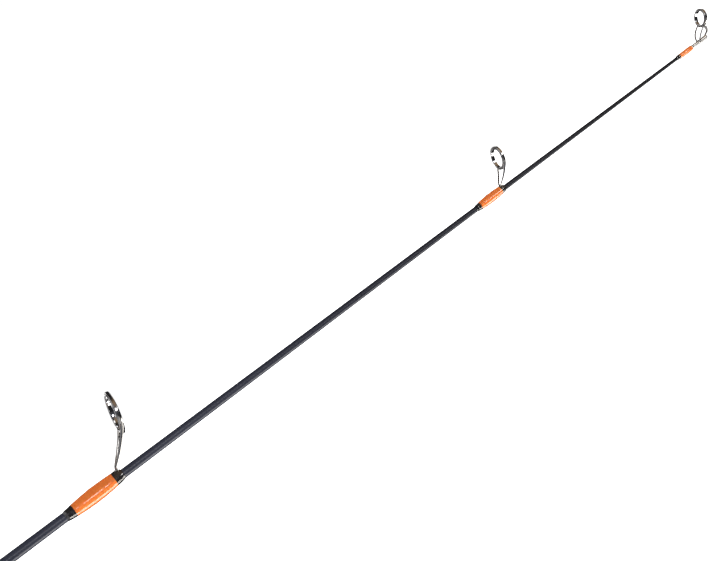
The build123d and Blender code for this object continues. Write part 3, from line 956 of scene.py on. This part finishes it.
def makeTip():
    shape = tipShape
    rear, front = ends("tip_tube")
    tubeRadius = outerRadius("tip_tube")
    bore = blankShape["spigot"]
    wallRear = front - shape["frontWall"]
    tube = turned("tipTubeDrawn", [
        (rear, bore, 0), (rear, tubeRadius, 0.08), (front, tubeRadius, 0.3),
        (front, shape["axisGap"], 0), (wallRear, shape["axisGap"], 0), (wallRear, bore, 0)], 72)
    standFor(tube, "tip_tube", finishes["guide_steel"])
    centre = (front + shape["ringForward"], 0, shape["ringHeight"])
    hole = shape["ringRadius"] - shape["hoopWall"]
    middleRadius = shape["ringRadius"] - shape["hoopWall"] / 2
    parts = [hoop("tipHoop", centre, shape["tilt"], hole, shape["ringRadius"],
                  shape["hoopWidth"], shape["hoopSoft"])]
    outer = tubeRadius + shape["collarWall"]
    collarFront = front - shape["collarEnd"]
    collarRear = front - shape["collarLength"] - shape["collarEnd"]
    parts.append(turned("tipCollar", [
        (collarRear, tubeRadius - 0.1, 0), (collarRear, outer - 0.08, 0.1),
        (collarFront, outer - 0.04, 0.15), (collarFront, tubeRadius - 0.1, 0)], 64))
    for side in (-1, 1):
        base = front - shape["setback"]
        marks = [Vector((base + ahead, side * (outer + out), up)) for ahead, out, up in tipLegLine]
        marks += [hoopPoint(shape, front, side, shape["reach"] + more, middleRadius) for more in tipLegJoin]
        path = smoothPath(marks, 7)
        left = [len(path) - i for i in range(len(path))]
        wide = [shape["legWidth"] * (0.46 if n > tipLegTail else 0.2 + 0.02 * n) for n in left]
        thick = [shape["sheet"] * (0.42 if n > tipLegTail else 0.3 + 0.01 * n) for n in left]
        parts.append(sweptBar("tipLeg", [p * mm for p in path], [w * mm for w in wide],
                              [t * mm for t in thick], (0, 1, 0)))
    marks = [Vector((front - 2.0, 0, outer - 0.3)), Vector((front - 0.2, 0, outer - 0.1))]
    marks += [Vector((front + ahead, 0, up)) for ahead, up in tipBraceLine]
    marks.append(hoopPoint(shape, front, 1, 0, middleRadius))
    path = smoothPath(marks, 7)
    count = len(path)
    wide = [shape["braceHalf"] * (0.75 + 0.25 * math.sin(math.pi * i / (count - 1))) for i in range(count)]
    parts.append(sweptBar("tipBrace", [p * mm for p in path], [w * mm for w in wide],
                          [shape["braceThick"] * mm] * count, (0, 1, 0)))
    piece = welded("tipTopFrame", parts, shape["voxel"], 5)
    standFor(piece, "tip_frame", finishes["guide_steel"])
    liner = hoop("tipRingLiner", centre, shape["tilt"], hole - shape["linerWall"], hole,
                 shape["linerWidth"], shape["linerSoft"])
    standFor(liner, "tip_ring", finishes["ring_chrome"])

    def overTube(x):
        step = min(1, max(0, (x - rear + tipSlope["back"]) / tipSlope["length"]))
        rise = tubeRadius + tipSlope["clear"] - blankRadius(x)
        return blankRadius(x) + rise * (3 * step ** 2 - 2 * step ** 3)

    makeWrap("tip", shape["coat"], lambda x: shape["footHalf"], lambda x: 0.0, overTube)


makeTip()
print("tip top made")


keeperShape = dict(wire=0.45, rise=5.0, topHalf=3.3, baseHalf=4.4, corner=1.3, cornerSteps=8,
                   coat=0.16, threadWide=0.75, footEnd=0.3)


def makeKeeper():
    shape = keeperShape
    wire = shape["wire"]
    rear, front = ends("hook_keeper")
    middle = (rear + front) / 2
    level = blankRadius(middle) + wire
    raised = level + shape["rise"]
    corners = [Vector((x, 0, z)) for x, z in (
        (rear, level), (middle - shape["baseHalf"], level), (middle - shape["topHalf"], raised),
        (middle + shape["topHalf"], raised), (middle + shape["baseHalf"], level), (front, level))]
    path = [corners[0]]
    for before, here, after in zip(corners, corners[1:], corners[2:]):
        path += roundCorner(before, here, after, shape["corner"], shape["cornerSteps"])
    path.append(corners[-1])
    thick = [wire * mm] * len(path)
    piece = sweptBar("hookKeeperWire", [p * mm for p in path], thick, thick, (0, 1, 0))
    standFor(piece, "hook_keeper", finishes["guide_steel"])

    def wireTop(x):
        return 2 * wire if rear + shape["footEnd"] < x < front - shape["footEnd"] else 0.0

    for name in ("keeper_rear", "keeper_front"):
        makeWrap(name, shape["coat"], lambda x: wire * shape["threadWide"], wireTop)


makeKeeper()
print("hook keeper made")


# metres; the floor is an even white and stays out of the mirrors
stageShape = dict(size=14.0, drop=0.0005, tone=(0.93, 0.93, 0.93), darker=0.985, glow=1.5)
# millimetres from the rod's axis under the middle guide, and degrees
cameraShape = dict(eye=(-217.5, -399.3, 15.1), aim=(-66.3, 0.0, 4.35), roll=36.1, lens=61.4, sensor=36,
                   nearest=0.01, farthest=40)


def makeFloor():
    low = cadBox[0].z - stageShape["drop"]
    half = stageShape["size"] / 2
    floor = makeMesh("paleFloor", [(-half, -half, low), (half, -half, low), (half, half, low),
                                   (-half, half, low)], [(0, 1, 2, 3)])
    look = Look("paleFloorPaint")
    speck = look.noise(look.place(), 3.0, 2)
    tone = look.blend(speck, stageShape["tone"],
                      tuple(c * stageShape["darker"] for c in stageShape["tone"]))
    dress(floor, look.surface({
        "Base Color": tone, "Roughness": 1.0, "Specular IOR Level": 0.0,
        "Emission Color": tone, "Emission Strength": stageShape["glow"]}))
    floor.visible_glossy = False


def facing(place, aim):
    return Matrix.Translation(place) @ (aim - place).to_track_quat("-Z", "Y").to_matrix().to_4x4()


def makeCamera():
    foot = Vector((posts["middle"], 0, 0))
    eye = (foot + Vector(cameraShape["eye"])) * mm
    aim = (foot + Vector(cameraShape["aim"])) * mm
    data = bpy.data.cameras.new("viewCamera")
    data.lens = cameraShape["lens"]
    data.sensor_width = cameraShape["sensor"]
    data.clip_start = cameraShape["nearest"]
    data.clip_end = cameraShape["farthest"]
    camera = bpy.data.objects.new("viewCamera", data)
    scene.collection.objects.link(camera)
    camera.matrix_world = facing(eye, aim) @ Matrix.Rotation(math.radians(-cameraShape["roll"]), 4, "Z")
    scene.camera = camera


lamps = [
    dict(name="topSoftbox", place=(0.1, -0.5, 1.5), size=1.4, power=6, aim=(0.3, 0, 0)),
    dict(name="sideSoftbox", place=(-0.8, 1.1, 0.7), size=0.9, power=4, aim=(0.3, 0, 0)),
]


def makeLights():
    for lamp in lamps:
        data = bpy.data.lights.new(lamp["name"], "AREA")
        data.size = lamp["size"]
        data.energy = lamp["power"]
        light = bpy.data.objects.new(lamp["name"], data)
        light.visible_glossy = False
        scene.collection.objects.link(light)
        light.matrix_world = facing(Vector(lamp["place"]), Vector(lamp["aim"]))


# what polished parts mirror: a dark room with a few pale panels; each has its colour and
# strength, and how far it reaches along x, y and z, with the softness of that edge
white = (1, 1, 1)
studioPanels = [
    dict(colour=white, strength=4.6, x=(0.0, 0.2, 0.04), y=(-1.1, -0.5, 0.05), z=(0.05, 0.27, 0.02)),
    dict(colour=white, strength=4.6, x=(0.4, 0.64, 0.04), y=(-1.1, -0.5, 0.05), z=(0.05, 0.27, 0.02)),
    dict(colour=white, strength=1.1, x=(-0.2, 0.03, 0.06), y=(0.3, 1.1, 0.1), z=(0.04, 0.62, 0.04)),
    dict(colour=(0.16, 0.15, 0.15), strength=1, x=(-1.1, -0.2, 0.1), y=(0.2, 1.1, 0.1), z=(0.1, 0.7, 0.2)),
    dict(colour=(1, 0.97, 0.93), strength=1.1, x=(0.55, 0.85, 0.05), y=(0.2, 1.1, 0.1), z=(0.1, 0.5, 0.08)),
    dict(colour=(0.3, 0.2, 0.11), strength=1, x=(0.2, 0.9, 0.2), y=(-0.9, 0.1, 0.2), z=(0.3, 0.8, 0.15)),
    dict(colour=(1, 0.98, 0.94), strength=4.6, x=(-0.2, 0.62, 0.1), y=(-0.48, 0.08, 0.06),
         z=(-1.1, -0.6, 0.1)),
    dict(colour=white, strength=0.8, x=(-1.1, -0.2, 0.1), y=(-1.1, 0.4, 0.2), z=(0.55, 1.2, 0.12)),
    dict(colour=(0.5, 0.5, 0.5), strength=1, x=(-1.1, -0.3, 0.2), y=(-1.1, 1.1, 0.1), z=(-1.1, -0.2, 0.1)),
    dict(colour=(0.16, 0.17, 0.2), strength=1, x=(-1.1, 0.3, 0.3), y=(-1.1, -0.2, 0.3), z=(-0.1, 0.5, 0.3)),
]
studioTone = dict(room=(0.02, 0.02, 0.022), zenith=0.75, horizon=1.1, plain=1.02)


def makeWorld():
    # plain white to look at, soft light from all round, and panels for mirrors
    world = bpy.data.worlds.new("studio")
    world.use_nodes = True
    scene.world = world
    look = Look("studio", world.node_tree)
    ways = look.axes(look.node("ShaderNodeTexCoord", {}, {}, "Generated"))

    def past(value, edge, soft):
        return look.node("ShaderNodeMapRange", {"interpolation_type": "SMOOTHSTEP"}, {
            "Value": value, "From Min": edge - soft, "From Max": edge + soft})

    def within(value, low, high, soft):
        return past(value, low, soft) * (1 - past(value, high, soft))

    def background(colour, strength=1.0):
        return look.node("ShaderNodeBackground", {}, {"Color": colour, "Strength": strength})

    mirrored = studioTone["room"]
    for panel in studioPanels:
        mask = panel["strength"]
        for way, key in zip(ways, ("x", "y", "z")):
            mask = within(way, *panel[key]) * mask
        mirrored = look.blend(mask, mirrored, panel["colour"], "ADD", clamp=False)
    shade = studioTone["horizon"] + ways[2].abs() * (studioTone["zenith"] - studioTone["horizon"])
    softSky = look.blend(1.0, white, shade, "MULTIPLY")
    isGlossy = look.node("ShaderNodeLightPath", {}, {}, "Is Glossy Ray")
    isCamera = look.node("ShaderNodeLightPath", {}, {}, "Is Camera Ray")
    seen = look.node("ShaderNodeMixShader", {}, {
        0: isGlossy, 1: background(softSky), 2: background(mirrored)})
    seen = look.node("ShaderNodeMixShader", {}, {
        0: isCamera, 1: seen, 2: background((*white, 1), studioTone["plain"])})
    look.finish(seen, "ShaderNodeOutputWorld")


makeFloor()
makeCamera()
makeLights()
makeWorld()
scene.view_settings.view_transform = "Standard"
print("stage made")
